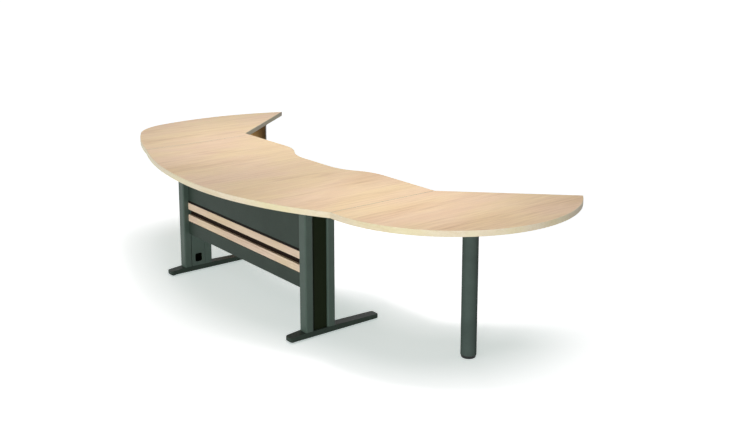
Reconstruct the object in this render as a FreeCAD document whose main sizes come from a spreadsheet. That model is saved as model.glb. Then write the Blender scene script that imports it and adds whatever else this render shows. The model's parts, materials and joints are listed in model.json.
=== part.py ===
import FreeCAD, Part
import math
import os
import re
import Sketcher

# Executive office desk: a bow-fronted main top on two T-shaped steel legs, a rounded
# extension on a round leg at its right end and a pointed return on a panel leg at its left.
# X runs along the main top, Y points from the visitor's side to the user's side, Z is up.
# The plan is measured from the middle of the two T-legs and the front of their columns, then
# moved so that the origin lies on the floor under the middle of the whole desk.

SIZES = {
    # Tops and their edge bands
    "desk_height": 740.0,
    "top_thickness": 30.0,
    "band_thickness": 2.0,
    "glue_gap": 0.2,
    "edge_bevel": 1.2,
    "seam_gap": 0.6,
    # Main top: bow front in two radii, straight user edge with a scallop
    "main_length": 1830.0,
    "front_overhang": 260.0,
    "bow_radius_right": 1820.0,
    "bow_radius_left": 2500.0,
    "user_edge": 660.0,
    "scallop_half_length": 490.0,
    "scallop_flat_half": 130.0,
    "scallop_depth": 108.0,
    # Extension: a sector whose arc is centred on its straight inner edge
    "extension_centre_offset": 51.0,
    "extension_angle": 45.0,
    # Return: a flat front arc, a round corner and a rear arc up to a pointed tip, with a small
    # inner radius where its straight inner edge leaves the main top
    "return_front_radius": 2200.0,
    "return_front_angle": 15.2,
    "return_corner_radius": 357.0,
    "return_bulge": 132.6,
    "return_centre_rise": 16.0,
    "return_inner_offset": 60.0,
    "return_inner_radius": 20.0,
    "return_edge_angle": 50.5,
    "return_edge_length": 815.0,
    # T-legs: two columns on a long foot, with a cable duct between them
    "leg_spread": 1360.0,
    "column_width": 60.0,
    "column_depth": 48.0,
    "column_gap": 90.0,
    "column_wall": 2.5,
    "column_corner": 8.0,
    "foot_front": 92.0,
    "foot_rear": 290.0,
    "foot_height": 30.0,
    "foot_tip_height": 22.0,
    "foot_wall": 3.0,
    "foot_corner": 14.0,
    "foot_edge_bevel": 1.5,
    "foot_tip_block": 46.0,
    "head_front": 80.0,
    "head_rear": 250.0,
    "head_height": 28.0,
    "head_sheet": 3.0,
    "head_bevel_length": 60.0,
    "head_bevel_height": 18.0,
    "duct_clearance": 0.5,
    "duct_sheet": 2.0,
    "duct_flange": 14.0,
    "cover_recess": 12.0,
    "outlet_width": 46.0,
    "outlet_height": 52.0,
    "outlet_corner": 10.0,
    "outlet_rise": 50.0,
    "outlet_drop": 60.0,
    # Levelling feet of the T-legs and of the panel leg
    "leveller_height": 10.0,
    "leveller_half_width": 13.0,
    "leveller_bevel": 1.5,
    "stud_radius": 5.0,
    "stud_length": 16.0,
    "stud_clearance": 0.3,
    "stud_relief": 1.0,
    "leveller_inset": 26.0,
    # Steel rails under the main top
    "rail_width": 40.0,
    "rail_height": 25.0,
    "rail_wall": 2.0,
    "rail_corner": 4.0,
    "rear_rail_inset": 46.0,
    # Modesty panel: two folded sheets with two wooden slats between them
    "panel_setback": 35.0,
    "panel_sheet": 1.5,
    "panel_end_gap": 0.5,
    "panel_bottom": 250.5,
    "panel_top_gap": 12.0,
    "slat_height": 42.0,
    "slat_thickness": 18.0,
    "slat_proud": 2.0,
    "slat_corner": 3.0,
    "lower_slat_bottom": 331.5,
    "slat_pitch": 73.0,
    "lower_shadow_gap": 3.0,
    "upper_shadow_gap": 6.0,
    "back_plate_lap": 8.0,
    "bracket_sheet": 3.0,
    "bracket_arm": 30.0,
    "bracket_margin": 5.0,
    # Flat plates that join the tops from below
    "plate_length": 120.0,
    "plate_width": 70.0,
    "plate_sheet": 3.0,
    "front_plate_place": 110.0,
    "rear_plate_inset": 100.0,
    # Round leg under the extension
    "round_leg_out": 419.0,
    "round_leg_front": 137.0,
    "tube_radius": 40.0,
    "tube_wall": 2.5,
    "tube_clearance": 0.3,
    "flange_radius": 75.0,
    "flange_thickness": 6.0,
    "spigot_length": 20.0,
    "plug_length": 40.0,
    "plug_lip": 3.0,
    "pad_radius": 37.0,
    "pad_height": 14.0,
    "pad_bevel": 3.0,
    "pad_stud_radius": 6.0,
    "pad_stud_length": 30.0,
    # Panel leg under the return
    "board_from_tip": 295.0,
    "board_setback": 30.0,
    "board_rim_setback": 48.0,
    "board_thickness": 28.0,
    "board_band": 2.0,
    "board_stud_inset": 45.0,
    "angle_arm": 40.0,
    "angle_sheet": 3.0,
    "angle_length": 220.0,
    # Every cut that passes right through runs this far past the surface
    "cut_overrun": 5.0,
}

# Sizes that follow from the ones above, worked out in the document
DERIVED = {
    "top_underside": "desk_height - top_thickness",
    "head_bottom": "top_underside - head_height",
    "foot_top": "leveller_height + foot_height",
    "column_height": "head_bottom - foot_top",
    "pack_depth": "2 * column_depth + column_gap",
    "foot_end": "pack_depth + foot_rear",
    "head_length": "head_front + pack_depth + head_rear",
    "inner_span": "leg_spread - 2 * column_width",
    "seam_place": "main_length / 2 + seam_gap",
    # Centres and ends of the bow front
    "bow_centre_right": "bow_radius_right - front_overhang",
    "bow_centre_left": "bow_radius_left - front_overhang",
    "corner_right": "bow_centre_right - sqrt(bow_radius_right^2 - (main_length / 2)^2)",
    "corner_left": "bow_centre_left - sqrt(bow_radius_left^2 - (main_length / 2)^2)",
    # The scallop's two equal arcs on each side
    "scallop_run": "scallop_half_length - scallop_flat_half",
    "swing_radius": "(scallop_run^2 + scallop_depth^2) / (4 * scallop_depth)",
    "crest_centre": "user_edge - swing_radius",
    "hollow_centre": "user_edge - scallop_depth + swing_radius",
    # The extension's arc starts at the main top's right front corner
    "extension_centre_x": "extension_centre_offset * cos(extension_angle)",
    "extension_centre_y": "extension_centre_offset * sin(extension_angle)",
    "extension_radius": "sqrt(extension_centre_x^2 + (extension_centre_y + user_edge - corner_right)^2)",
    "extension_tip_y": "extension_centre_y + extension_radius * sin(extension_angle)",
    # The return's front arc starts at the left front corner and its rear arc ends at the tip
    "return_front_x": "return_front_radius * sin(return_front_angle)",
    "return_front_y": "corner_left - user_edge + return_front_radius * cos(return_front_angle)",
    "return_tip_x": "return_inner_offset + return_edge_length * cos(return_edge_angle)",
    "return_tip_y": "return_edge_length * sin(return_edge_angle)",
    "return_reach": "return_tip_x + return_bulge",
    "return_tip_rise": "return_tip_y - return_centre_rise",
    "return_rear_radius": "(return_bulge^2 + return_tip_rise^2) / (2 * return_bulge)",
    "return_rear_x": "return_rear_radius - return_reach",
    # The round corner touches both arcs, so its centre is a set distance from each of theirs
    "front_spoke": "return_front_radius - return_corner_radius",
    "rear_spoke": "return_rear_radius - return_corner_radius",
    "span_x": "return_rear_x - return_front_x",
    "span_y": "return_centre_rise - return_front_y",
    "span_length": "sqrt(span_x^2 + span_y^2)",
    "spoke_along": "(front_spoke^2 - rear_spoke^2 + span_length^2) / (2 * span_length)",
    "spoke_aside": "sqrt(front_spoke^2 - spoke_along^2)",
    "inner_centre_x": "return_inner_radius * tan(return_edge_angle / 2) - return_inner_offset",
    "round_centre_x": "return_front_x + (spoke_along * span_x + spoke_aside * span_y) / span_length",
    "round_centre_y": "return_front_y + (spoke_along * span_y - spoke_aside * span_x) / span_length",
    # Middle of the whole desk in the plan
    "origin_x": "(extension_centre_x + extension_radius - return_reach) / 2",
    "origin_y": "(user_edge + max(return_tip_y; extension_tip_y) - front_overhang) / 2",
    # Heights and depths of the modesty panel
    "upper_slat_bottom": "lower_slat_bottom + slat_pitch",
    "lower_panel_top": "lower_slat_bottom - lower_shadow_gap",
    "upper_panel_bottom": "upper_slat_bottom + slat_height + upper_shadow_gap",
    "upper_panel_top": "top_underside - panel_top_gap",
    "panel_length": "inner_span - 2 * panel_end_gap",
    "panel_depth": "slat_thickness - slat_proud",
    "back_plate_bottom": "lower_panel_top - back_plate_lap",
    "back_plate_top": "upper_panel_bottom + back_plate_lap",
    "upper_bracket_bottom": "back_plate_top + bracket_margin",
    "upper_bracket_top": "upper_panel_top - panel_sheet - bracket_margin",
    "lower_bracket_bottom": "panel_bottom + panel_sheet + bracket_margin",
    "lower_bracket_top": "back_plate_bottom - bracket_margin",
    # Round leg and panel leg
    "tube_inside": "tube_radius - tube_wall",
    "tube_fit": "tube_inside - tube_clearance",
    "tube_bottom": "pad_height + plug_lip",
    "tube_top": "top_underside - flange_thickness",
    "tube_length": "tube_top - tube_bottom",
    "board_height": "top_underside - leveller_height",
    "board_half": "board_thickness / 2",
    # The board runs square to the return's inner edge and stops short of the rim of its rear arc
    "board_along": "return_edge_length - board_from_tip",
    "board_edge_x": "-return_inner_offset - board_along * cos(return_edge_angle) - return_rear_x",
    "board_edge_y": "board_along * sin(return_edge_angle) - return_centre_rise",
    "board_toward": "-board_edge_x * sin(return_edge_angle) - board_edge_y * cos(return_edge_angle)",
    "board_spread": "board_toward^2 + return_rear_radius^2 - board_edge_x^2 - board_edge_y^2",
    "board_rim": "sqrt(board_spread) - board_toward",
    "board_length": "board_rim - board_setback - board_rim_setback",
}

ALIAS = re.compile(r"[a-z]+(?:_[a-z]+)+")


def bound(text):
    """An expression with each size's name led by the object that holds it."""
    def full_name(found):
        alias = found.group(0)
        return ("Sizes." if alias in SIZES else "Derived.") + alias

    return ALIAS.sub(full_name, text)


doc = FreeCAD.newDocument("office_desk")
sheet = doc.addObject("Spreadsheet::Sheet", "Sizes")
for row, (alias, size) in enumerate(SIZES.items(), start=1):
    sheet.set(f"A{row}", alias)
    sheet.set(f"B{row}", str(size))
    sheet.setAlias(f"B{row}", alias)
derived = doc.addObject("App::VarSet", "Derived")
for alias, text in DERIVED.items():
    derived.addProperty("App::PropertyFloat", alias)
    derived.setExpression(alias, bound(text))
doc.recompute()
nodes = []


def value(text):
    return float(sheet.evalExpression(bound(text)))


def new_body(label):
    body = doc.addObject("PartDesign::Body", label)
    body.Label = label
    nodes.append(body)
    return body


def new_sketch(body, role):
    plane = next(feature for feature in body.Origin.OriginFeatures if feature.Role == role)
    sketch = body.newObject("Sketcher::SketchObject", body.Label + "_sketch")
    sketch.AttachmentSupport = [(plane, "")]
    sketch.MapMode = "FlatFace"
    return sketch


def place(item, x, y, z, turn="0"):
    """Sets a sub-part at a point of the plan, turned about Z."""
    item.setExpression("Placement.Base.x", bound(f"{x} - origin_x"))
    item.setExpression("Placement.Base.y", bound(f"{y} - origin_y"))
    item.setExpression("Placement.Base.z", bound(z))
    item.setExpression("Placement.Rotation.Angle", bound(turn))


def hold(sketch, rules):
    """Adds dimensions, each a constraint's kind, the points it ties and its size."""
    made = [Sketcher.Constraint(kind, *points, value(text)) for kind, points, text in rules]
    first = sketch.ConstraintCount
    sketch.addConstraint(made)
    for step, (kind, points, text) in enumerate(rules):
        sketch.setExpression(f"Constraints[{first + step}]", bound(text))


def arc_of(start, finish, centre, turn):
    """Arc between two points; a sketch keeps every arc turning left, so a right turn is swapped."""
    first, second = (start, finish) if turn == "left" else (finish, start)
    low = math.atan2(first.y - centre.y, first.x - centre.x)
    high = math.atan2(second.y - centre.y, second.x - centre.x)
    if high < low:
        high += 2 * math.pi
    whole = Part.Circle(centre, FreeCAD.Vector(0, 0, 1), (start - centre).Length)
    return Part.ArcOfCircle(whole, low, high)


def loop(sketch, corners, arcs=None):
    """Closed outline through the corners. arcs gives, by a corner's number, the centre of the
    arc to the next corner and whether it turns left or right. The last stretch is straight."""
    arcs = arcs or {}
    points = [FreeCAD.Vector(value(x), value(y), 0) for x, y in corners]
    centres = {number: FreeCAD.Vector(value(x), value(y), 0) for number, (x, y, turn) in arcs.items()}
    ends = []
    rules = []
    for number, start in enumerate(points):
        finish = points[(number + 1) % len(points)]
        if number in arcs:
            x, y, turn = arcs[number]
            piece = sketch.addGeometry(arc_of(start, finish, centres[number], turn), False)
            ends.append((piece, 1, 2) if turn == "left" else (piece, 2, 1))
            rules.append(("DistanceX", (-1, 1, piece, 3), x))
            rules.append(("DistanceY", (-1, 1, piece, 3), y))
        else:
            piece = sketch.addGeometry(Part.LineSegment(start, finish), False)
            ends.append((piece, 1, 2))
    joins = []
    for number, (piece, begin, end) in enumerate(ends):
        following = ends[(number + 1) % len(ends)]
        joins.append(Sketcher.Constraint("Coincident", piece, end, following[0], following[1]))
    sketch.addConstraint(joins)
    # A corner that ends an arc lies on its circle, so one coordinate is enough there
    for number, (piece, begin, end) in enumerate(ends):
        x, y = corners[number]
        before = (number - 1) % len(ends)
        spoke = points[number] - centres[before] if before in centres else None
        if spoke is None or abs(spoke.y) >= abs(spoke.x):
            rules.append(("DistanceX", (-1, 1, piece, begin), x))
        if spoke is None or abs(spoke.y) < abs(spoke.x):
            rules.append(("DistanceY", (-1, 1, piece, begin), y))
    hold(sketch, rules)


def circle(sketch, x, y, radius):
    centre = FreeCAD.Vector(value(x), value(y), 0)
    piece = sketch.addGeometry(Part.Circle(centre, FreeCAD.Vector(0, 0, 1), value(radius)), False)
    hold(sketch, [
        ("DistanceX", (-1, 1, piece, 3), x),
        ("DistanceY", (-1, 1, piece, 3), y),
        ("Radius", (piece,), radius),
    ])


def rectangle(sketch, left, right, low, high):
    loop(sketch, [(left, low), (right, low), (right, high), (left, high)])


def rounded_rectangle(sketch, width, height, corner, x="0", y="0"):
    """Rectangle about a centre, with round corners, drawn from the foot of its left side."""
    left, right = f"({x} - {width} / 2)", f"({x} + {width} / 2)"
    low, high = f"({y} - {height} / 2)", f"({y} + {height} / 2)"
    inner_left, inner_right = f"({left} + {corner})", f"({right} - {corner})"
    inner_low, inner_high = f"({low} + {corner})", f"({high} - {corner})"
    corners = [
        (left, inner_low), (inner_left, low), (inner_right, low), (right, inner_low),
        (right, inner_high), (inner_right, high), (inner_left, high), (left, inner_high),
    ]
    arcs = {
        0: (inner_left, inner_low, "left"),
        2: (inner_right, inner_low, "left"),
        4: (inner_right, inner_high, "left"),
        6: (inner_left, inner_high, "left"),
    }
    loop(sketch, corners, arcs)


def pad(body, sketch, length, symmetric=False, backwards=False):
    feature = body.newObject("PartDesign::Pad", body.Label + "_pad")
    feature.Profile = sketch
    feature.setExpression("Length", bound(length))
    if symmetric:
        feature.SideType = "Symmetric"
    feature.Reversed = backwards
    doc.recompute()
    return feature


def pocket(body, sketch, depth, symmetric=False, backwards=False):
    before = body.Shape.Volume
    feature = body.newObject("PartDesign::Pocket", body.Label + "_pocket")
    feature.Profile = sketch
    feature.setExpression("Length", bound(depth))
    if symmetric:
        feature.SideType = "Symmetric"
    feature.Reversed = backwards
    doc.recompute()
    if body.Shape.Volume >= before:
        raise RuntimeError(body.Label + ": a pocket cut nothing")


def revolve(body, sketch):
    feature = body.newObject("PartDesign::Revolution", body.Label + "_turned")
    feature.Profile = sketch
    feature.ReferenceAxis = (sketch, ["V_Axis"])
    feature.Angle = 360.0
    doc.recompute()


def soften(body, base, chosen, kind, measure, size):
    """Rounds or bevels the edges of a feature that the test picks."""
    names = [f"Edge{number}" for number, edge in enumerate(base.Shape.Edges, start=1) if chosen(edge)]
    feature = body.newObject("PartDesign::" + kind, body.Label + "_edges")
    feature.Base = (base, names)
    feature.setExpression(measure, bound(size))
    doc.recompute()
    return feature


def fillet(body, base, chosen, radius):
    return soften(body, base, chosen, "Fillet", "Radius", radius)


def chamfer(body, base, chosen, size):
    return soften(body, base, chosen, "Chamfer", "Size", size)


def is_upright(edge):
    box = edge.BoundBox
    return box.ZLength > box.XLength + box.YLength


def is_level(edge):
    return not is_upright(edge)


# Outlines of the three tops, each drawn a given distance inside its finished edge

def main_outline(sketch, inset):
    """Bow front, two seams and a user edge whose scallop swings in and out on equal arcs."""
    half = f"(main_length / 2 - {inset})"
    user_line = f"(user_edge - {inset})"
    valley = f"(user_edge - scallop_depth - {inset})"
    turn_share = f"((swing_radius - {inset}) / (2 * swing_radius))"
    turn_x = f"(scallop_half_length - {turn_share} * scallop_run)"
    turn_y = f"(crest_centre + {turn_share} * (2 * swing_radius - scallop_depth))"
    corners = [
        (f"-{half}", f"bow_centre_left - sqrt((bow_radius_left - {inset})^2 - {half}^2)"),
        ("0", f"{inset} - front_overhang"),
        (half, f"bow_centre_right - sqrt((bow_radius_right - {inset})^2 - {half}^2)"),
        (half, user_line),
        ("scallop_half_length", user_line),
        (turn_x, turn_y),
        ("scallop_flat_half", valley),
        ("-scallop_flat_half", valley),
        (f"-{turn_x}", turn_y),
        ("-scallop_half_length", user_line),
        (f"-{half}", user_line),
    ]
    arcs = {
        0: ("0", "bow_centre_left", "left"),
        1: ("0", "bow_centre_right", "left"),
        4: ("scallop_half_length", "crest_centre", "left"),
        5: ("scallop_flat_half", "hollow_centre", "right"),
        7: ("-scallop_flat_half", "hollow_centre", "right"),
        8: ("-scallop_half_length", "crest_centre", "left"),
    }
    loop(sketch, corners, arcs)


def extension_outline(sketch, inset):
    """Sector measured from the inner end of its seam."""
    across, along = "cos(extension_angle)", "sin(extension_angle)"
    radius = f"(extension_radius - {inset})"
    edge = f"sqrt({radius}^2 - {inset}^2)"
    corners = [
        (inset, f"extension_centre_y - sqrt({radius}^2 - ({inset} - extension_centre_x)^2)"),
        (f"extension_centre_x + {inset} * {along} + {edge} * {across}",
         f"extension_centre_y - {inset} * {across} + {edge} * {along}"),
        (inset, f"{inset} * ({along} - 1) / {across}"),
    ]
    loop(sketch, corners, {0: ("extension_centre_x", "extension_centre_y", "left")})


def return_outline(sketch, inset):
    """Pointed top measured from the inner end of its seam, to its left."""
    across, along = "cos(return_edge_angle)", "sin(return_edge_angle)"
    front_radius = f"(return_front_radius - {inset})"
    rear_radius = f"(return_rear_radius - {inset})"
    # Where the inset inner edge meets the inset rear arc, seen from that arc's centre
    start_x = f"(-return_inner_offset - {inset} * {along} - return_rear_x)"
    start_y = f"(-{inset} * {across} - return_centre_rise)"
    toward = f"({start_y} * {along} - {start_x} * {across})"
    spare = f"({start_x}^2 + {start_y}^2 - {rear_radius}^2)"
    reach = f"(sqrt({toward}^2 - {spare}) - {toward})"
    inner_radius = f"(return_inner_radius + {inset})"
    corners = [
        (f"-{inset}", f"-{inset}"),
        ("inner_centre_x", f"-{inset}"),
        (f"inner_centre_x - {inner_radius} * {along}", f"return_inner_radius - {inner_radius} * {across}"),
        (f"return_rear_x + {start_x} - {reach} * {across}",
         f"return_centre_rise + {start_y} + {reach} * {along}"),
        (f"return_rear_x + {rear_radius} * (round_centre_x - return_rear_x) / rear_spoke",
         f"return_centre_rise + {rear_radius} * (round_centre_y - return_centre_rise) / rear_spoke"),
        (f"return_front_x + {front_radius} * (round_centre_x - return_front_x) / front_spoke",
         f"return_front_y + {front_radius} * (round_centre_y - return_front_y) / front_spoke"),
        (f"-{inset}", f"return_front_y - sqrt({front_radius}^2 - ({inset} + return_front_x)^2)"),
    ]
    arcs = {
        1: ("inner_centre_x", "return_inner_radius", "right"),
        3: ("return_rear_x", "return_centre_rise", "left"),
        4: ("round_centre_x", "round_centre_y", "left"),
        5: ("return_front_x", "return_front_y", "left"),
    }
    loop(sketch, corners, arcs)


def top_and_band(name, outline, x, y):
    """A laminated board and the band that wraps its whole edge."""
    board = new_body(name + "_top")
    sketch = new_sketch(board, "XY_Plane")
    outline(sketch, "(band_thickness + glue_gap)")
    pad(board, sketch, "top_thickness")
    place(board, x, y, "top_underside")

    band = new_body(name + "_edge_band")
    rim = new_sketch(band, "XY_Plane")
    outline(rim, "0")
    base = pad(band, rim, "top_thickness")
    chamfer(band, base, is_level, "edge_bevel")
    inside = new_sketch(band, "XY_Plane")
    outline(inside, "band_thickness")
    pocket(band, inside, "top_thickness + cut_overrun", backwards=True)
    place(band, x, y, "top_underside")


# Sub-parts of the T-legs

def foot(name, x, studs):
    """Long foot, tapered to both tips and hollow below between solid tips that take the studs."""
    body = new_body(name)
    profile = new_sketch(body, "YZ_Plane")
    loop(profile, [
        ("-foot_front", "0"), ("foot_end", "0"), ("foot_end", "foot_tip_height"),
        ("pack_depth", "foot_height"), ("0", "foot_height"), ("-foot_front", "foot_tip_height"),
    ])
    base = pad(body, profile, "column_width", symmetric=True)
    rounded = fillet(body, base, is_upright, "foot_corner")
    tip = value("foot_tip_height")
    ridge = value("(foot_tip_height + foot_height) / 2")

    def on_upper_rim(edge):
        box = edge.BoundBox
        is_fold = box.ZMin > ridge and box.XLength > box.YLength
        return box.ZMin > tip / 2 and not is_fold

    chamfer(body, rounded, on_upper_rim, "foot_edge_bevel")

    hollow = new_sketch(body, "XY_Plane")
    inside_width = "(column_width - 2 * foot_wall)"
    inside_length = "(foot_end + foot_front - 2 * foot_tip_block)"
    middle = "((foot_end - foot_front) / 2)"
    rounded_rectangle(hollow, inside_width, inside_length, "(foot_corner - foot_wall)", y=middle)
    pocket(body, hollow, "foot_tip_height - foot_wall", backwards=True)

    bores = new_sketch(body, "XY_Plane")
    for stud in studs:
        circle(bores, "0", stud, "stud_radius + stud_clearance")
    pocket(body, bores, "stud_length + stud_relief", backwards=True)
    place(body, x, "0", "leveller_height")


def column(name, x, y):
    body = new_body(name)
    sketch = new_sketch(body, "XY_Plane")
    rounded_rectangle(sketch, "column_width", "column_depth", "column_corner")
    bore_width, bore_depth = "(column_width - 2 * column_wall)", "(column_depth - 2 * column_wall)"
    rounded_rectangle(sketch, bore_width, bore_depth, "(column_corner - column_wall)")
    pad(body, sketch, "column_height")
    place(body, x, y, "foot_top")


def duct_side(name, x, turn, has_outlets):
    """Folded sheet that closes the duct between the columns; the inner one has two cable outlets."""
    body = new_body(name)
    sketch = new_sketch(body, "XY_Plane")
    half = "(column_gap / 2 - duct_clearance)"
    fold = f"({half} - duct_sheet)"
    loop(sketch, [
        ("0", f"-{half}"), ("duct_flange", f"-{half}"),
        ("duct_flange", f"-{fold}"), ("duct_sheet", f"-{fold}"),
        ("duct_sheet", fold), ("duct_flange", fold),
        ("duct_flange", half), ("0", half),
    ])
    pad(body, sketch, "column_height")
    if has_outlets:
        outlets = new_sketch(body, "YZ_Plane")
        for middle in ("outlet_rise", "(column_height - outlet_drop)"):
            rounded_rectangle(outlets, "outlet_width", "outlet_height", "outlet_corner", y=middle)
        pocket(body, outlets, "duct_sheet + cut_overrun", backwards=True)
    place(body, x, "column_depth + column_gap / 2", "foot_top", turn)


def head(name, x):
    """Channel on top of the columns that carries the main top, with bevelled ends."""
    body = new_body(name)
    profile = new_sketch(body, "XZ_Plane")
    half = "(column_width / 2)"
    fold = f"({half} - head_sheet)"
    loop(profile, [
        (f"-{half}", "0"), (half, "0"),
        (half, "head_height"), (fold, "head_height"),
        (fold, "head_sheet"), (f"-{fold}", "head_sheet"),
        (f"-{fold}", "head_height"), (f"-{half}", "head_height"),
    ])
    pad(body, profile, "head_length", backwards=True)
    bevels = new_sketch(body, "YZ_Plane")
    loop(bevels, [("0", "0"), ("head_bevel_length", "0"), ("0", "head_bevel_height")])
    loop(bevels, [
        ("head_length", "0"), ("head_length", "head_bevel_height"), ("head_length - head_bevel_length", "0"),
    ])
    pocket(body, bevels, "column_width + cut_overrun", symmetric=True)
    place(body, x, "-head_front", "head_bottom")


def turned_part(name, x, y, z, corners):
    """Solid of revolution about its own upright axis, from a half section."""
    body = new_body(name)
    sketch = new_sketch(body, "XZ_Plane")
    loop(sketch, corners)
    revolve(body, sketch)
    place(body, x, y, z)


def leveller(name, x, y):
    """Screw-in levelling foot: a six-sided pad for a spanner, bevelled below, and a stud."""
    body = new_body(name)
    hexagon = new_sketch(body, "XY_Plane")
    side, half_side = "leveller_half_width", "(leveller_half_width / sqrt(3))"
    loop(hexagon, [
        (side, f"-{half_side}"), (side, half_side), ("0", f"2 * {half_side}"),
        (f"-{side}", half_side), (f"-{side}", f"-{half_side}"), ("0", f"-2 * {half_side}"),
    ])
    base = pad(body, hexagon, "leveller_height")
    bevel = value("leveller_bevel")
    chamfer(body, base, lambda edge: edge.BoundBox.ZMax < bevel, "leveller_bevel")
    stud = new_sketch(body, "XY_Plane")
    circle(stud, "0", "0", "stud_radius")
    pad(body, stud, "leveller_height + stud_length")
    place(body, x, y, "0")


def t_leg(side, sign, turn, opposite_turn):
    middle = f"{sign}(leg_spread / 2 - column_width / 2)"
    front_stud, rear_stud = "(leveller_inset - foot_front)", "(foot_end - leveller_inset)"
    foot(side + "_leg_foot", middle, (front_stud, rear_stud))
    column(side + "_leg_front_column", middle, "column_depth / 2")
    column(side + "_leg_rear_column", middle, "pack_depth - column_depth / 2")
    inner_face = f"{sign}(leg_spread / 2 - column_width)"
    cover_face = f"{sign}(leg_spread / 2 - cover_recess)"
    duct_side(side + "_leg_inner_panel", inner_face, turn, has_outlets=True)
    duct_side(side + "_leg_duct_cover", cover_face, opposite_turn, has_outlets=False)
    head(side + "_leg_head", middle)
    leveller(side + "_leg_front_leveller", middle, front_stud)
    leveller(side + "_leg_rear_leveller", middle, rear_stud)


# Frame and modesty panel between the legs

def rail(name, y):
    body = new_body(name)
    sketch = new_sketch(body, "YZ_Plane")
    rounded_rectangle(sketch, "rail_width", "rail_height", "rail_corner")
    bore_width, bore_height = "(rail_width - 2 * rail_wall)", "(rail_height - 2 * rail_wall)"
    rounded_rectangle(sketch, bore_width, bore_height, "(rail_corner - rail_wall)")
    pad(body, sketch, "inner_span", symmetric=True)
    place(body, "0", y, "top_underside - rail_height / 2")


def folded_panel(name, bottom, height):
    """Sheet with a flange folded back along its top and bottom."""
    body = new_body(name)
    sketch = new_sketch(body, "YZ_Plane")
    upper_fold = f"{height} - panel_sheet"
    loop(sketch, [
        ("0", "0"), ("panel_depth", "0"),
        ("panel_depth", "panel_sheet"), ("panel_sheet", "panel_sheet"),
        ("panel_sheet", upper_fold), ("panel_depth", upper_fold),
        ("panel_depth", height), ("0", height),
    ])
    pad(body, sketch, "panel_length", symmetric=True)
    place(body, "0", "panel_setback", bottom)


def slat(name, bottom):
    body = new_body(name)
    sketch = new_sketch(body, "YZ_Plane")
    rounded_rectangle(sketch, "slat_thickness", "slat_height", "slat_corner")
    pad(body, sketch, "panel_length", symmetric=True)
    place(body, "0", "panel_setback - slat_proud + slat_thickness / 2", f"{bottom} + slat_height / 2")


def back_plate():
    """Dark sheet that the slats stand on and that closes the gap between them."""
    body = new_body("modesty_back_plate")
    sketch = new_sketch(body, "YZ_Plane")
    rectangle(sketch, "0", "panel_sheet", "0", "back_plate_top - back_plate_bottom")
    pad(body, sketch, "panel_length", symmetric=True)
    place(body, "0", "panel_setback + panel_depth", "back_plate_bottom")


def panel_bracket(name, sign, bottom, top):
    """Angle that fixes one end of a folded panel to a column."""
    body = new_body(name)
    sketch = new_sketch(body, "XY_Plane")
    sheet_edge, arm_end = f"-{sign}bracket_sheet", f"-{sign}bracket_arm"
    loop(sketch, [
        ("0", "0"), ("0", "bracket_arm"), (sheet_edge, "bracket_arm"),
        (sheet_edge, "bracket_sheet"), (arm_end, "bracket_sheet"), (arm_end, "0"),
    ])
    pad(body, sketch, f"{top} - {bottom}")
    place(body, f"{sign}inner_span / 2", "panel_setback + panel_sheet", bottom)


def modesty_panel():
    folded_panel("modesty_upper_panel", "upper_panel_bottom", "(upper_panel_top - upper_panel_bottom)")
    folded_panel("modesty_lower_panel", "panel_bottom", "(lower_panel_top - panel_bottom)")
    slat("modesty_lower_slat", "lower_slat_bottom")
    slat("modesty_upper_slat", "upper_slat_bottom")
    back_plate()
    for side, sign in (("right", ""), ("left", "-1 * ")):
        panel_bracket(side + "_upper_bracket", sign, "upper_bracket_bottom", "upper_bracket_top")
        panel_bracket(side + "_lower_bracket", sign, "lower_bracket_bottom", "lower_bracket_top")


def joining_plate(name, x, y):
    body = new_body(name)
    sketch = new_sketch(body, "XY_Plane")
    rectangle(sketch, "-plate_length / 2", "plate_length / 2", "-plate_width / 2", "plate_width / 2")
    pad(body, sketch, "plate_sheet")
    place(body, x, y, "top_underside - plate_sheet")


def round_leg():
    """Tube with a flange under the extension, and a plug below that takes the levelling pad."""
    x, y = "seam_place + round_leg_out", "user_edge - round_leg_front"
    bore = "(pad_stud_radius + stud_clearance)"
    pad_top = "pad_height + pad_stud_length"
    turned_part("round_leg_tube", x, y, "tube_bottom", [
        ("tube_inside", "0"), ("tube_radius", "0"),
        ("tube_radius", "tube_length"), ("tube_inside", "tube_length"),
    ])
    turned_part("round_leg_flange", x, y, "tube_top", [
        ("0", "-spigot_length"), ("tube_fit", "-spigot_length"), ("tube_fit", "0"),
        ("flange_radius", "0"), ("flange_radius", "flange_thickness"), ("0", "flange_thickness"),
    ])
    turned_part("round_leg_plug", x, y, "pad_height", [
        (bore, "0"), ("tube_radius", "0"), ("tube_radius", "plug_lip"), ("tube_fit", "plug_lip"),
        ("tube_fit", "plug_length"), (bore, "plug_length"),
    ])
    turned_part("round_leg_leveller", x, y, "0", [
        ("0", "0"), ("pad_radius - pad_bevel", "0"), ("pad_radius", "pad_bevel"),
        ("pad_radius", "pad_height"), ("pad_stud_radius", "pad_height"),
        ("pad_stud_radius", pad_top), ("0", pad_top),
    ])


# Panel leg under the return, square to its straight inner edge

def along_return_edge(along, inward):
    """Plan point a distance along the return's inner edge and inward from it."""
    across_part = f"({along}) * cos(return_edge_angle) + ({inward}) * sin(return_edge_angle)"
    rise_part = f"({along}) * sin(return_edge_angle) - ({inward}) * cos(return_edge_angle)"
    return f"-seam_place - return_inner_offset - ({across_part})", f"user_edge + ({rise_part})"


def board_slab(name, low, high):
    body = new_body(name)
    sketch = new_sketch(body, "XY_Plane")
    rectangle(sketch, "-board_half", "board_half", low, high)
    pad(body, sketch, "board_height")
    start = along_return_edge("board_along", "board_setback")
    place(body, *start, "leveller_height", "180 - return_edge_angle")
    return body


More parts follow.
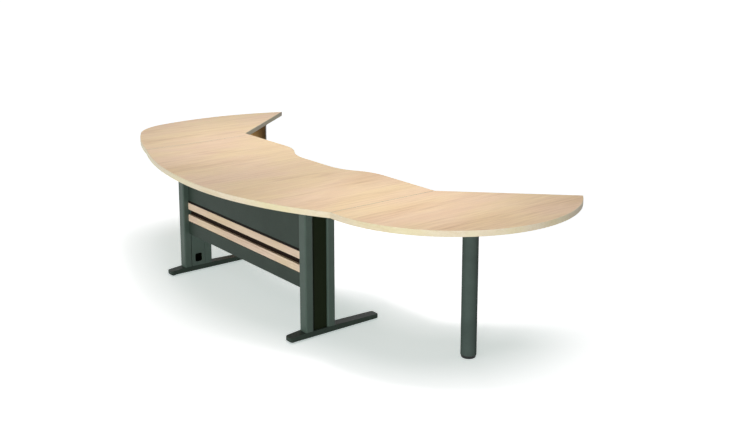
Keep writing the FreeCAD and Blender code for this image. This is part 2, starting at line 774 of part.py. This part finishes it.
def panel_leg():
    """Board with a band on each upright edge, an angle to the return and two levelling feet."""
    studs = ["board_stud_inset", "(board_length - board_stud_inset)"]
    board = board_slab("panel_leg_board", "board_band", "board_length - board_band")
    bores = new_sketch(board, "XY_Plane")
    for stud in studs:
        circle(bores, "0", stud, "stud_radius + stud_clearance")
    pocket(board, bores, "stud_length + stud_relief", backwards=True)
    board_slab("panel_leg_inner_band", "0", "board_band")
    board_slab("panel_leg_outer_band", "board_length - board_band", "board_length")

    angle = new_body("panel_leg_angle")
    sketch = new_sketch(angle, "XZ_Plane")
    under_flange = "angle_arm - angle_sheet"
    loop(sketch, [
        ("0", "0"), ("angle_sheet", "0"), ("angle_sheet", under_flange),
        ("angle_arm", under_flange), ("angle_arm", "angle_arm"), ("0", "angle_arm"),
    ])
    pad(angle, sketch, "angle_length", symmetric=True)
    middle = along_return_edge("board_along + board_half", "board_setback + board_length / 2")
    place(angle, *middle, "top_underside - angle_arm", "180 - return_edge_angle")

    for name, stud in zip(("panel_leg_inner_leveller", "panel_leg_outer_leveller"), studs):
        leveller(name, *along_return_edge("board_along", f"board_setback + {stud}"))


top_and_band("main", main_outline, "0", "0")
top_and_band("extension", extension_outline, "seam_place", "user_edge")
top_and_band("return", return_outline, "-seam_place", "user_edge")
t_leg("right", "", "0", "180")
t_leg("left", "-1 * ", "180", "0")
rail("front_rail", "pack_depth / 2")
rail("rear_rail", "pack_depth + head_rear - rear_rail_inset")
modesty_panel()
for seam_name, seam in (("extension", "seam_place"), ("return", "-seam_place")):
    joining_plate(seam_name + "_front_plate", seam, "front_plate_place")
    joining_plate(seam_name + "_rear_plate", seam, "user_edge - rear_plate_inset")
round_leg()
panel_leg()

doc.recompute()
for item in doc.Objects:
    if "Invalid" in item.State or "Error" in item.State:
        raise RuntimeError(item.Label + ": " + ", ".join(item.State))
for node in nodes:
    if node.Shape.isNull() or not node.Shape.isValid() or len(node.Shape.Solids) != 1:
        raise RuntimeError(node.Label + ": not one valid solid")
os.makedirs("parts", exist_ok=True)
for node in nodes:
    node.Shape.exportStep(os.path.join("parts", node.Label + ".step"))
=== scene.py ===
import json
import math
import bmesh
import bpy
from mathutils import Matrix, Vector


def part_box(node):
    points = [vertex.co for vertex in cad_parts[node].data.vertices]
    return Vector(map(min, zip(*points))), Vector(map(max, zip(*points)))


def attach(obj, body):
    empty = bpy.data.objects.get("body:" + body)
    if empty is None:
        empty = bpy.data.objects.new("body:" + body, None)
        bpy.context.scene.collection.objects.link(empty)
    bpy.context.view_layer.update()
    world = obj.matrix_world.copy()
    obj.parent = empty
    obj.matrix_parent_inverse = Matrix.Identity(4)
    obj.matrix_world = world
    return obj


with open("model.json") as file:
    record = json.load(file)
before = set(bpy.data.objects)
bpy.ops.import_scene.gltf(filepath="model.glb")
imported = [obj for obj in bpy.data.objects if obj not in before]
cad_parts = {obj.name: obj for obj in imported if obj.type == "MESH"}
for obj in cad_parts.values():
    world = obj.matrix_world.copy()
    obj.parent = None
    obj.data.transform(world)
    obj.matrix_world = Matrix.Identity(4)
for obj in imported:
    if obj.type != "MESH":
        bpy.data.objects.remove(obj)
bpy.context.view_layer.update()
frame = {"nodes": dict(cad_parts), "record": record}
nodes = frame["nodes"]

# Turns of the wood's grain, which runs along X when unturned
UNTURNED = (0, 0, 0)
GRAIN_ALONG_Y = (0, 0, math.radians(90))
GRAIN_UPRIGHT = (0, math.radians(90), 0)

# How far each layer of the wood's pattern is squeezed along and across the grain, and its two tints
GRAIN_STRETCH = {
    "broad": (0.7, 3.2, 3.2),
    "streaks": (1.6, 34.0, 34.0),
    "fibre": (9.0, 420.0, 420.0),
    "pores": (22.0, 900.0, 900.0),
    "patches": (0.8, 1.5, 1.5),
}
YELLOW_CAST = (1.0, 1.0, 0.925, 1)
PINK_CAST = (1.0, 0.965, 1.0, 1)
WOOD_SHINE = 0.2

# Scuffs on plastic run askew; marks on rolled sheet run along X
SCUFF_TURN = (0, 0, 0.6)
SCUFF_STRETCH = (40.0, 6.0, 25.0)
ROLLED_STRETCH = (4.0, 500.0, 500.0)

# Reach of the softened look of sharp edges, in metres
BEVEL_SAMPLES = 6
WOOD_EDGE = 0.0012
COAT_EDGE = 0.0015
COAT_RUBBED = 0.0018
PLASTIC_EDGE = 0.0012
ZINC_EDGE = 0.001

# Screw heads in metres; their dome and recess are shares of the radius and the height
SCREW_RADIUS = 0.0045
SCREW_HEIGHT = 0.0026
SCREW_SIDES = 14
SCREW_TWIST = math.radians(37)
SCREW_DOME = ((1.0, 0.0), (1.0, 0.30), (0.86, 0.72), (0.60, 0.96))
RECESS_RIM = (0.46, 0.12, 0.96)
RECESS_BED = (0.34, 0.09, 0.30)

# Places of the screws as shares of the part that they hold
PLATE_ACROSS = (0.12, 0.38, 0.62, 0.88)
PLATE_ALONG = (0.22, 0.78)
HEAD_FRONT = 0.70
HEAD_REAR = (0.15, 0.70)
FLANGE_TURNS = (45, 135, 225, 315)
BRACKET_UP = (0.2, 0.8)
BRACKET_OUT = 0.6
ANGLE_ALONG = (-0.75, 0.0, 0.75)
ANGLE_OUT = 0.62
ANGLE_UP = 0.35
DOWN = (0, 0, -1)

# Seam shade strips, the shadow-gap strip and threads in metres
SEAM_BEVEL = 0.0012
SEAM_SINK = 0.0002
SEAM_RIM_SINK = SEAM_SINK * 1.2
STRIP_PLAY = 0.0003
STRIP_LAP = 0.008
STRIP_PROUD = 0.0012
THREAD_PITCH = 0.002
THREAD_HALF = THREAD_PITCH * 0.3
THREAD_RISE = 0.00018
THREAD_STEPS = 24

# Floor: half its side in metres, its colours where it is seen, and its colour for bounced light
FLOOR_HALF = 60.0
FLOOR_LIT = (0.98, 0.90, 0.93, 1)
FLOOR_GLOW = (0.455, 0.52, 0.501, 1)
FLOOR_BOUNCE = (0.20, 0.19, 0.18, 1)

# Suns: where each shines from, its level, its width in degrees and whether gloss shows it
SUNS = {
    "overhead": ((0.08, 0.05, 1.0), 0.38, 40, True),
    "front": ((0.58, -0.82, 0.02), 1.03, 5, False),
    "fill": ((0.3, -0.95, 0.7), 0.10, 60, False),
    "back": ((-0.9, 0.45, 0.04), 0.20, 20, False),
}

# Spots: place, power and width in degrees
SPOTS = {
    "spot_right": ((0.89, -0.11, 4.2), 190, 28),
    "spot_left": ((-0.69, 0.21, 4.2), 165, 36),
}
SPOT_SIZE = 0.35
AMBIENT = 0.16

# Camera: place in metres, tilt and turn in radians, focal length in pixels of the image
IMAGE_WIDTH = 732
FOCAL_PIXELS = 1030.36
SENSOR_WIDTH = 36.0
CAMERA_PLACE = (4.79522, -3.33755, 2.11227)
CAMERA_TILT = math.radians(90) - 0.19292
CAMERA_TURN = 0.91019
CAMERA_SHIFT = -0.12


# Shader helpers

def linear(red, green, blue):
    """Colour picked on screen (0 to 255) as the linear colour that shaders use."""
    def one(level):
        share = level / 255
        return share / 12.92 if share <= 0.04045 else ((share + 0.055) / 1.055) ** 2.4

    return (one(red), one(green), one(blue), 1.0)


def add(tree, kind, inputs=None, **settings):
    """New node whose inputs are either linked to a socket or set to a value."""
    node = tree.nodes.new(kind)
    for key, setting in settings.items():
        setattr(node, key, setting)
    for key, given in (inputs or {}).items():
        if isinstance(given, bpy.types.NodeSocket):
            tree.links.new(given, node.inputs[key])
        else:
            node.inputs[key].default_value = given
    return node


def new_material(name):
    material = bpy.data.materials.new(name)
    material.use_nodes = True
    material.node_tree.nodes.clear()
    return material, material.node_tree


def surface(tree, shader):
    add(tree, "ShaderNodeOutputMaterial", {"Surface": shader})


def principled(tree, colour, rough, normal, constants=None):
    given = {"Base Color": colour, "Roughness": rough, "Normal": normal, **(constants or {})}
    surface(tree, add(tree, "ShaderNodeBsdfPrincipled", given).outputs[0])


def place_of(tree, turn=UNTURNED, scale=(1, 1, 1)):
    """Position on the object in metres, turned and stretched."""
    spot = add(tree, "ShaderNodeTexCoord").outputs["Object"]
    turned = add(tree, "ShaderNodeMapping", {"Vector": spot, "Rotation": turn})
    return add(tree, "ShaderNodeMapping", {"Vector": turned.outputs[0], "Scale": scale}).outputs[0]


def noise(tree, vector, scale, detail, rough, distortion=0.0):
    given = {"Vector": vector, "Scale": scale, "Detail": detail, "Roughness": rough, "Distortion": distortion}
    return add(tree, "ShaderNodeTexNoise", given).outputs["Fac"]


def ramp(tree, factor, stops):
    node = add(tree, "ShaderNodeValToRGB", {"Fac": factor})
    band = node.color_ramp.elements
    while len(band) < len(stops):
        band.new(0.5)
    for element, (position, colour) in zip(band, stops):
        element.position = position
        element.color = colour
    return node.outputs["Color"]


def grey_ramp(tree, factor, stops):
    return ramp(tree, factor, [(position, (level, level, level, 1)) for position, level in stops])


def mix(tree, factor, first, second, blend="MIX"):
    given = {0: factor, 6: first, 7: second}
    return add(tree, "ShaderNodeMix", given, data_type="RGBA", blend_type=blend).outputs[2]


def multiply(tree, first, second):
    return mix(tree, 1.0, first, second, "MULTIPLY")


def math_node(tree, operation, first, second):
    return add(tree, "ShaderNodeMath", {0: first, 1: second}, operation=operation).outputs[0]


def bump(tree, height, strength, distance, normal):
    given = {"Height": height, "Strength": strength, "Distance": distance, "Normal": normal}
    return add(tree, "ShaderNodeBump", given).outputs["Normal"]


def soft_edges(tree, radius):
    """Normal that runs smoothly round every sharp edge."""
    return add(tree, "ShaderNodeBevel", {"Radius": radius}, samples=BEVEL_SAMPLES).outputs["Normal"]


def edge_mask(tree, radius):
    """1 along the sharp edges and 0 on flat ground."""
    plain = add(tree, "ShaderNodeNewGeometry").outputs["Normal"]
    bent = soft_edges(tree, radius)
    same = add(tree, "ShaderNodeVectorMath", {0: plain, 1: bent}, operation="DOT_PRODUCT").outputs["Value"]
    return grey_ramp(tree, same, [(0.80, 1.0), (0.985, 0.0)])


# Materials

def wood(name, pale, middle, dark, turn, fine=1.0, roughness=0.40):
    """Wood-effect laminate: broad figure, streaks, warm and cool patches, pores along the grain."""
    material, tree = new_material(name)
    along = {key: place_of(tree, turn, stretch) for key, stretch in GRAIN_STRETCH.items()}
    broad = noise(tree, along["broad"], scale=1.6 * fine, detail=3.0, rough=0.5, distortion=0.6)
    streaks = noise(tree, along["streaks"], scale=2.2 * fine, detail=5.0, rough=0.62, distortion=0.35)
    fibre = noise(tree, along["fibre"], scale=2.0 * fine, detail=2.0, rough=0.6)
    pores = noise(tree, along["pores"], scale=1.0 * fine, detail=1.0, rough=0.5)
    patches = noise(tree, along["patches"], scale=2.4 * fine, detail=2.0, rough=0.5, distortion=0.4)
    figure = ramp(tree, broad, [(0.30, middle), (0.52, pale), (0.74, middle)])
    streak_mask = grey_ramp(tree, streaks, [(0.45, 0.0), (0.74, 0.9)])
    streak_share = grey_ramp(tree, broad, [(0.30, 1.0), (0.62, 0.35)])
    streak_mask = math_node(tree, "MULTIPLY", streak_mask, streak_share)
    toned = mix(tree, streak_mask, figure, dark)
    toned = multiply(tree, toned, grey_ramp(tree, fibre, [(0.30, 0.93), (0.70, 1.05)]))
    cast = ramp(tree, patches, [(0.38, YELLOW_CAST), (0.62, PINK_CAST)])
    toned = multiply(tree, toned, cast)
    pore_mask = grey_ramp(tree, pores, [(0.66, 0.0), (0.74, 0.35)])
    colour = mix(tree, pore_mask, toned, dark)
    rough = grey_ramp(tree, fibre, [(0.25, roughness - 0.05), (0.75, roughness + 0.08)])
    normal = bump(tree, fibre, strength=0.10, distance=0.0004, normal=soft_edges(tree, WOOD_EDGE))
    principled(tree, colour, rough, normal, {"Specular IOR Level": WOOD_SHINE})
    return material


def powder_coat(name, base, worn, roughness, shine):
    """Baked paint: fine orange-peel, faint cloudiness and lighter rubbed edges."""
    material, tree = new_material(name)
    spot = place_of(tree)
    clouds = noise(tree, spot, scale=7.0, detail=4.0, rough=0.6)
    grit = noise(tree, spot, scale=900.0, detail=2.0, rough=0.5)
    peel = noise(tree, spot, scale=260.0, detail=2.0, rough=0.5)
    colour = multiply(tree, base, grey_ramp(tree, clouds, [(0.30, 0.88), (0.70, 1.12)]))
    colour = multiply(tree, colour, grey_ramp(tree, grit, [(0.35, 0.90), (0.65, 1.10)]))
    rubbed = math_node(tree, "MULTIPLY", edge_mask(tree, COAT_RUBBED), clouds)
    colour = mix(tree, rubbed, colour, worn)
    rough = grey_ramp(tree, peel, [(0.30, roughness - 0.06), (0.70, roughness + 0.06)])
    normal = bump(tree, peel, strength=0.12, distance=0.0003, normal=soft_edges(tree, COAT_EDGE))
    principled(tree, colour, rough, normal, {"Specular IOR Level": shine})
    return material


def moulded_plastic(name, base, scuffed, roughness):
    """Moulded plastic with a spark-eroded grain and scuffs."""
    material, tree = new_material(name)
    grain = noise(tree, place_of(tree), scale=1100.0, detail=2.0, rough=0.6)
    scuffs = noise(tree, place_of(tree, SCUFF_TURN, SCUFF_STRETCH), scale=6.0, detail=4.0, rough=0.7)
    colour = mix(tree, grey_ramp(tree, scuffs, [(0.56, 0.0), (0.72, 0.5)]), base, scuffed)
    rough = grey_ramp(tree, grain, [(0.30, roughness - 0.05), (0.70, roughness + 0.08)])
    normal = bump(tree, grain, strength=0.15, distance=0.0002, normal=soft_edges(tree, PLASTIC_EDGE))
    principled(tree, colour, rough, normal)
    return material


def zinc(name):
    """Zinc-plated sheet: pale spangle with rolling marks."""
    material, tree = new_material(name)
    spangle = noise(tree, place_of(tree), scale=160.0, detail=3.0, rough=0.5)
    rolled = noise(tree, place_of(tree, UNTURNED, ROLLED_STRETCH), scale=3.0, detail=3.0, rough=0.6)
    tone = ramp(tree, spangle, [(0.30, linear(150, 154, 158)), (0.70, linear(190, 193, 194))])
    colour = multiply(tree, tone, grey_ramp(tree, rolled, [(0.30, 0.90), (0.70, 1.06)]))
    rough = grey_ramp(tree, rolled, [(0.30, 0.30), (0.70, 0.46)])
    normal = bump(tree, rolled, strength=0.10, distance=0.0002, normal=soft_edges(tree, ZINC_EDGE))
    principled(tree, colour, rough, normal, {"Metallic": 1.0})
    return material


materials = {
    "maple_laminate": wood("maple_laminate", linear(243, 214, 176), linear(234, 200, 161),
                           linear(204, 164, 121), GRAIN_ALONG_Y),
    "maple_edge_band": wood("maple_edge_band", linear(224, 216, 189), linear(221, 211, 179),
                            linear(210, 195, 156), UNTURNED, fine=1.2, roughness=0.42),
    "maple_slat": wood("maple_slat", linear(224, 205, 180), linear(214, 193, 167),
                       linear(192, 166, 136), UNTURNED, fine=1.2),
    "brown_laminate": wood("brown_laminate", linear(181, 147, 94), linear(164, 131, 81),
                           linear(133, 102, 61), GRAIN_UPRIGHT),
    "brown_edge_band": wood("brown_edge_band", linear(96, 76, 50), linear(86, 67, 44),
                            linear(68, 50, 30), GRAIN_UPRIGHT),
    "grey_powder_coat": powder_coat("grey_powder_coat", linear(64, 79, 71), linear(112, 122, 116),
                                    roughness=0.45, shine=0.4),
    "dark_powder_coat": powder_coat("dark_powder_coat", linear(22, 29, 15), linear(40, 46, 34),
                                    roughness=0.7, shine=0.1),
    "black_plastic": moulded_plastic("black_plastic", linear(24, 25, 25), linear(60, 60, 58),
                                     roughness=0.50),
    "zinc_plate": zinc("zinc_plate"),
}
brown_coat = powder_coat("brown_powder_coat", linear(24, 14, 8), linear(44, 32, 23),
                         roughness=0.7, shine=0.1)
# Near-black coat for the strip that is painted shade in the gap over the upper slat
shadow_gap_coat = powder_coat("shadow_gap_powder_coat", linear(15, 11, 7), linear(36, 30, 24),
                        roughness=0.7, shine=0.1)
# Darker copy of the grey powder coat: painted shade for the modesty sheets and the feet
shaded_coat = powder_coat("shaded_powder_coat", linear(42, 53, 46), linear(96, 106, 100),
                        roughness=0.5, shine=0.2)
tube_coat = powder_coat("tube_powder_coat", linear(73, 85, 80), linear(108, 118, 112),
                        roughness=0.6, shine=0.03)

# Nodes whose paint differs a little from that of their slot; the modesty sheets and the feet get a darker
# copy of the grey coat, which is painted shade for their place under the tops
special = {"modesty_back_plate": brown_coat, "round_leg_tube": tube_coat}
for node in ("modesty_upper_panel", "modesty_lower_panel", "right_leg_foot", "left_leg_foot"):
    special[node] = shaded_coat
for part in frame["record"]["subparts"]:
    item = nodes[part["node"]]
    item.data.materials.clear()
    item.data.materials.append(special.get(part["node"], materials[part["material_slot"]]))


# Small pieces: screws, a dark strip as painted shade in each seam, a dark strip as painted shade in the gap
# over the modesty panel's upper slat, and the studs' threads

def add_piece(name, shape, slot, material=None, body="desk"):
    """Object made from a shape, which rides on a body and has its slot's material unless another is given."""
    mesh = bpy.data.meshes.new(name)
    shape.normal_update()
    shape.to_mesh(mesh)
    shape.free()
    mesh.materials.append(material or materials[slot])
    piece = bpy.data.objects.new(name, mesh)
    bpy.context.scene.collection.objects.link(piece)
    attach(piece, body)


def between(low, high, share):
    return low + (high - low) * share


def skin(shape, lower, upper):
    """Band of faces between two loops of as many points."""
    faces = []
    for step in range(len(lower)):
        after = (step + 1) % len(lower)
        faces.append(shape.faces.new((lower[step], lower[after], upper[after], upper[step])))
    return faces


def extrude(shape, outlines):
    """Closed bar between two equal outlines."""
    ends = [[shape.verts.new(point) for point in outline] for outline in outlines]
    skin(shape, ends[1], ends[0])
    for end in ends:
        shape.faces.new(end)
    bmesh.ops.recalc_face_normals(shape, faces=shape.faces)


def ring(shape, out, up):
    """Points round a screw's head, at shares of its radius and height."""
    turns = [2 * math.pi * step / SCREW_SIDES for step in range(SCREW_SIDES)]
    radius, height = SCREW_RADIUS * out, SCREW_HEIGHT * up
    return [shape.verts.new((radius * math.cos(turn), radius * math.sin(turn), height)) for turn in turns]


def cross(shape, reach_share, half_share, up):
    """Corner points of a cross in a screw's head, anticlockwise."""
    reach, half, height = SCREW_RADIUS * reach_share, SCREW_RADIUS * half_share, SCREW_HEIGHT * up
    quarter = [(reach, -half), (reach, half), (half, half)]
    points = []
    for turn in range(4):
        for x, y in quarter:
            for _ in range(turn):
                x, y = -y, x
            points.append(shape.verts.new((x, y, height)))
    return points


def screw_head():
    """Domed head on the XY plane with a cross recess in its crown."""
    shape = bmesh.new()
    rings = [ring(shape, out, up) for out, up in SCREW_DOME]
    shape.faces.new(rings[0][::-1])
    for lower, upper in zip(rings, rings[1:]):
        for face in skin(shape, lower, upper):
            face.smooth = True
    rim = cross(shape, *RECESS_RIM)
    bed = cross(shape, *RECESS_BED)
    crown = [shape.edges.get((a, b)) for a, b in zip(rings[-1], rings[-1][1:] + rings[-1][:1])]
    recess = [shape.edges.new((point, rim[step - 1])) for step, point in enumerate(rim)]
    bmesh.ops.triangle_fill(shape, edges=crown + recess, use_beauty=True)
    skin(shape, bed, rim)
    shape.faces.new(bed)
    bmesh.ops.recalc_face_normals(shape, faces=shape.faces)
    return shape


def screws(node, places):
    """Screw heads on a node, each at a point and facing a direction."""
    head = screw_head()
    single = bpy.data.meshes.new("screw")
    head.to_mesh(single)
    head.free()
    joined = bmesh.new()
    for number, (point, facing) in enumerate(places):
        turn = Matrix.Rotation(number * SCREW_TWIST, 4, "Z")
        aim = Vector(facing).to_track_quat("Z", "Y").to_matrix().to_4x4()
        before = len(joined.verts)
        joined.from_mesh(single)
        joined.verts.ensure_lookup_table()
        spot = Matrix.Translation(point) @ aim @ turn
        bmesh.ops.transform(joined, matrix=spot, verts=joined.verts[before:])
    bpy.data.meshes.remove(single)
    add_piece(node + "_screws", joined, "zinc_plate")


def plate_screws(node):
    low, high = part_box(node)
    places = []
    for across in PLATE_ACROSS:
        for along in PLATE_ALONG:
            x, y = between(low[0], high[0], across), between(low[1], high[1], along)
            places.append(((x, y, low[2]), DOWN))
    screws(node, places)


def head_screws(side):
    """Screws through the head channel, where no column is in the way."""
    low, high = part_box(side + "_leg_head")
    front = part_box(side + "_leg_front_column")[0][1]
    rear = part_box(side + "_leg_rear_column")[1][1]
    middle = between(low[0], high[0], 0.5)
    ways = [between(low[1], front, HEAD_FRONT)] + [between(rear, high[1], share) for share in HEAD_REAR]
    screws(side + "_leg_head", [((middle, y, low[2]), DOWN) for y in ways])


def flange_screws():
    """Screws in the flange, halfway between its rim and the tube."""
    low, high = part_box("round_leg_flange")
    tube_low, tube_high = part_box("round_leg_tube")
    centre = [between(low[axis], high[axis], 0.5) for axis in range(2)]
    reach = (high[0] - low[0] + tube_high[0] - tube_low[0]) / 4
    places = []
    for turn in FLANGE_TURNS:
        x = centre[0] + reach * math.cos(math.radians(turn))
        y = centre[1] + reach * math.sin(math.radians(turn))
        places.append(((x, y, tube_high[2]), DOWN))
    screws("round_leg_flange", places)


def sheet_thickness():
    """Thickness of the zinc sheet, read from a flat plate."""
    low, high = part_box("extension_front_plate")
    return high[2] - low[2]


def bracket_screws(side, level, inward):
    """A pair of screws in each arm of a bracket; inward is the way along X from its column."""
    node = f"{side}_{level}_bracket"
    low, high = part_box(node)
    thickness = sheet_thickness()
    corner = high[0] if inward < 0 else low[0]
    places = []
    for share in BRACKET_UP:
        z = between(low[2], high[2], share)
        column_side = (corner + inward * thickness, between(low[1], high[1], BRACKET_OUT), z)
        panel_side = (corner + inward * (high[0] - low[0]) * BRACKET_OUT, low[1] + thickness, z)
        places += [(column_side, (inward, 0, 0)), (panel_side, (0, 1, 0))]
    screws(node, places)


def angle_screws():
    """Screws in both arms of the panel leg's angle, which stands askew in the plan."""
    points = [vertex.co for vertex in nodes["panel_leg_angle"].data.vertices]
    low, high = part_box("panel_leg_angle")
    thickness = sheet_thickness()
    upper = [point for point in points if high[2] - point.z < thickness / 2]
    lower = [point for point in points if point.z - low[2] < thickness / 2]
    middle = sum(upper, Vector()) / len(upper)
    end = max(upper, key=lambda point: (point - middle).length)
    foot = sum(lower, Vector()) / len(lower)
    out = Vector((middle.x - foot.x, middle.y - foot.y, 0)).normalized()
    along = Vector((-out.y, out.x, 0))
    half = abs((end - middle).dot(along))
    arm = high[2] - low[2]
    corner = Vector((foot.x, foot.y, 0)) - out * thickness / 2
    places = []
    for share in ANGLE_ALONG:
        base = corner + along * half * share
        under = base + out * arm * ANGLE_OUT
        facing = base + out * thickness
        places.append(((under.x, under.y, high[2] - thickness), DOWN))
        places.append(((facing.x, facing.y, low[2] + arm * ANGLE_UP), tuple(out)))
    screws("panel_leg_angle", places)


def seam_span(node, x):
    """Lowest and highest Y of a node's side that stands at x."""
    places = [vertex.co.y for vertex in nodes[node].data.vertices if abs(vertex.co.x - x) < SEAM_BEVEL / 2]
    return min(places), max(places)


def seam_shade_strip(name, left, right):
    """Dark crowned strip that lies in the groove between two tops, as painted shade in the seam."""
    left_x, right_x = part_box(left)[1][0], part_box(right)[0][0]
    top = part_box(left)[1][2]
    left_span, right_span = seam_span(left, left_x), seam_span(right, right_x)
    start = max(left_span[0], right_span[0]) + SEAM_BEVEL
    end = min(left_span[1], right_span[1]) - SEAM_BEVEL
    middle, foot_half = (left_x + right_x) / 2, (right_x - left_x) / 3
    wide = foot_half + SEAM_BEVEL - SEAM_SINK
    profile = [(-foot_half, SEAM_BEVEL), (foot_half, SEAM_BEVEL), (wide, SEAM_RIM_SINK),
               (wide / 2, SEAM_SINK), (-wide / 2, SEAM_SINK), (-wide, SEAM_RIM_SINK)]
    shape = bmesh.new()
    extrude(shape, [[(middle + x, y, top - sink) for x, sink in profile] for y in (start, end)])
    add_piece(name, shape, "brown_edge_band")


def shadow_gap_strip():
    """Dark angled strip that closes the gap over the upper slat as painted shade for that shadow gap, and
    laps up over the sheet's lower edge.
    """
    low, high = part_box("modesty_upper_panel")
    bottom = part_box("modesty_upper_slat")[1][2] + STRIP_PLAY
    under, top = low[2] - STRIP_PLAY, low[2] + STRIP_LAP
    face, rear = low[1] - STRIP_PLAY / 3, low[1] + STRIP_LAP
    front = low[1] - STRIP_PROUD
    profile = [(front, bottom), (rear, bottom), (rear, under), (face, under), (face, top),
               (front + STRIP_PROUD / 2, top), (front, top - STRIP_PROUD / 2)]
    shape = bmesh.new()
    ends = (low[0] + STRIP_PLAY, high[0] - STRIP_PLAY)
    extrude(shape, [[(x, y, z) for y, z in profile] for x in ends])
    add_piece("modesty_shadow_gap_strip", shape, "dark_powder_coat", shadow_gap_coat)


def stud_thread(node, start):
    """Helical ridge on a levelling foot's stud, from the pad at the start height to the stud's end."""
    low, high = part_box(node)
    centre = [between(low[axis], high[axis], 0.5) for axis in range(2)]
    tip = [vertex.co for vertex in nodes[node].data.vertices if high[2] - vertex.co.z < THREAD_RISE]
    radius = max(math.hypot(point.x - centre[0], point.y - centre[1]) for point in tip)
    profile = [(-THREAD_RISE, -THREAD_HALF), (THREAD_RISE, 0.0), (-THREAD_RISE, THREAD_HALF)]
    bottom, top = start + THREAD_HALF, high[2] - THREAD_HALF
    steps = round((top - bottom) / THREAD_PITCH * THREAD_STEPS)
    shape = bmesh.new()
    stations = []
    for step in range(steps + 1):
        turn = 2 * math.pi * step / THREAD_STEPS
        z = between(bottom, top, step / steps)
        station = []
        for out, up in profile:
            x = centre[0] + (radius + out) * math.cos(turn)
            y = centre[1] + (radius + out) * math.sin(turn)
            station.append(shape.verts.new((x, y, z + up)))
        stations.append(station)
    for lower, upper in zip(stations, stations[1:]):
        skin(shape, lower, upper)
    shape.faces.new(stations[0])
    shape.faces.new(stations[-1])
    bmesh.ops.recalc_face_normals(shape, faces=shape.faces)
    add_piece(node + "_thread", shape, "black_plastic", body=node + "_body")


for top in ("extension", "return"):
    for place in ("front", "rear"):
        plate_screws(f"{top}_{place}_plate")
for side, inward in (("right", -1), ("left", 1)):
    head_screws(side)
    for level in ("upper", "lower"):
        bracket_screws(side, level, inward)
flange_screws()
angle_screws()
foot_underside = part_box("right_leg_foot")[0][2]
for end in ("front", "rear"):
    stud_thread(f"right_leg_{end}_leveller", foot_underside)
    stud_thread(f"left_leg_{end}_leveller", foot_underside)
for end in ("inner", "outer"):
    stud_thread(f"panel_leg_{end}_leveller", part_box("panel_leg_board")[0][2])
stud_thread("round_leg_leveller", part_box("round_leg_plug")[0][2])
shadow_gap_strip()
seam_shade_strip("right_seam_shade_strip", "main_edge_band", "extension_edge_band")
seam_shade_strip("left_seam_shade_strip", "return_edge_band", "main_edge_band")


# Stage: pale floor, soft light and the camera

def seen_directly(tree):
    """1 for rays from the camera and for reflections, 0 for bounced light, and the node that tells."""
    path = add(tree, "ShaderNodeLightPath")
    return math_node(tree, "MAXIMUM", path.outputs["Is Camera Ray"], path.outputs["Is Glossy Ray"]), path


def make_floor():
    """Floor that shows white with the desk's shadow and bounces less light than it shows."""
    mesh = bpy.data.meshes.new("floor")
    corners = [(-FLOOR_HALF, -FLOOR_HALF, 0), (FLOOR_HALF, -FLOOR_HALF, 0),
               (FLOOR_HALF, FLOOR_HALF, 0), (-FLOOR_HALF, FLOOR_HALF, 0)]
    mesh.from_pydata(corners, [], [(0, 1, 2, 3)])
    floor = bpy.data.objects.new("floor", mesh)
    bpy.context.scene.collection.objects.link(floor)
    material, tree = new_material("floor")
    direct, _ = seen_directly(tree)
    seen_lit = add(tree, "ShaderNodeBsdfDiffuse", {"Color": FLOOR_LIT})
    seen_glow = add(tree, "ShaderNodeEmission", {"Color": FLOOR_GLOW})
    seen_floor = add(tree, "ShaderNodeAddShader", {0: seen_lit.outputs[0], 1: seen_glow.outputs[0]})
    bounce = add(tree, "ShaderNodeBsdfDiffuse", {"Color": FLOOR_BOUNCE})
    given = {0: direct, 1: bounce.outputs[0], 2: seen_floor.outputs[0]}
    surface(tree, add(tree, "ShaderNodeMixShader", given).outputs[0])
    mesh.materials.append(material)


def make_world():
    """White world that lights the desk at the ambient level only."""
    world = bpy.data.worlds.new("studio")
    world.use_nodes = True
    tree = world.node_tree
    tree.nodes.clear()
    direct, path = seen_directly(tree)
    direct = math_node(tree, "MAXIMUM", direct, path.outputs["Is Transmission Ray"])
    strength = math_node(tree, "MAXIMUM", direct, AMBIENT)
    sky = add(tree, "ShaderNodeBackground", {"Color": (1, 1, 1, 1), "Strength": strength})
    add(tree, "ShaderNodeOutputWorld", {"Surface": sky.outputs[0]})
    bpy.context.scene.world = world


def make_lamp(name, kind, place, energy):
    lamp = bpy.data.lights.new(name, kind)
    lamp.energy = energy
    item = bpy.data.objects.new(name, lamp)
    item.location = place
    bpy.context.scene.collection.objects.link(item)
    return lamp, item


def make_sun(name, place, level, width, highlight):
    """Sun that shines from its place to the origin; at level 1 a white face turned to it renders white."""
    lamp, item = make_lamp(name, "SUN", place, level * math.pi)
    lamp.angle = math.radians(width)
    item.rotation_euler = Vector(place).to_track_quat("Z", "Y").to_euler()
    item.visible_glossy = highlight


def make_spot(name, place, power, width):
    """Spot with a soft rim that faces straight down and lights a part of the tops from high above."""
    lamp, _ = make_lamp(name, "SPOT", place, power)
    lamp.spot_size = math.radians(width)
    lamp.spot_blend = 1.0
    lamp.shadow_soft_size = SPOT_SIZE


def make_camera():
    data = bpy.data.cameras.new("camera")
    camera = bpy.data.objects.new("camera", data)
    bpy.context.scene.collection.objects.link(camera)
    data.sensor_fit = "HORIZONTAL"
    data.sensor_width = SENSOR_WIDTH
    data.lens = FOCAL_PIXELS / IMAGE_WIDTH * SENSOR_WIDTH
    data.shift_y = CAMERA_SHIFT
    camera.location = CAMERA_PLACE
    camera.rotation_euler = (CAMERA_TILT, 0, CAMERA_TURN)
    bpy.context.scene.camera = camera


make_floor()
make_world()
for name, sun in SUNS.items():
    make_sun(name, *sun)
for name, spot in SPOTS.items():
    make_spot(name, *spot)
make_camera()
bpy.context.scene.view_settings.view_transform = "Standard"
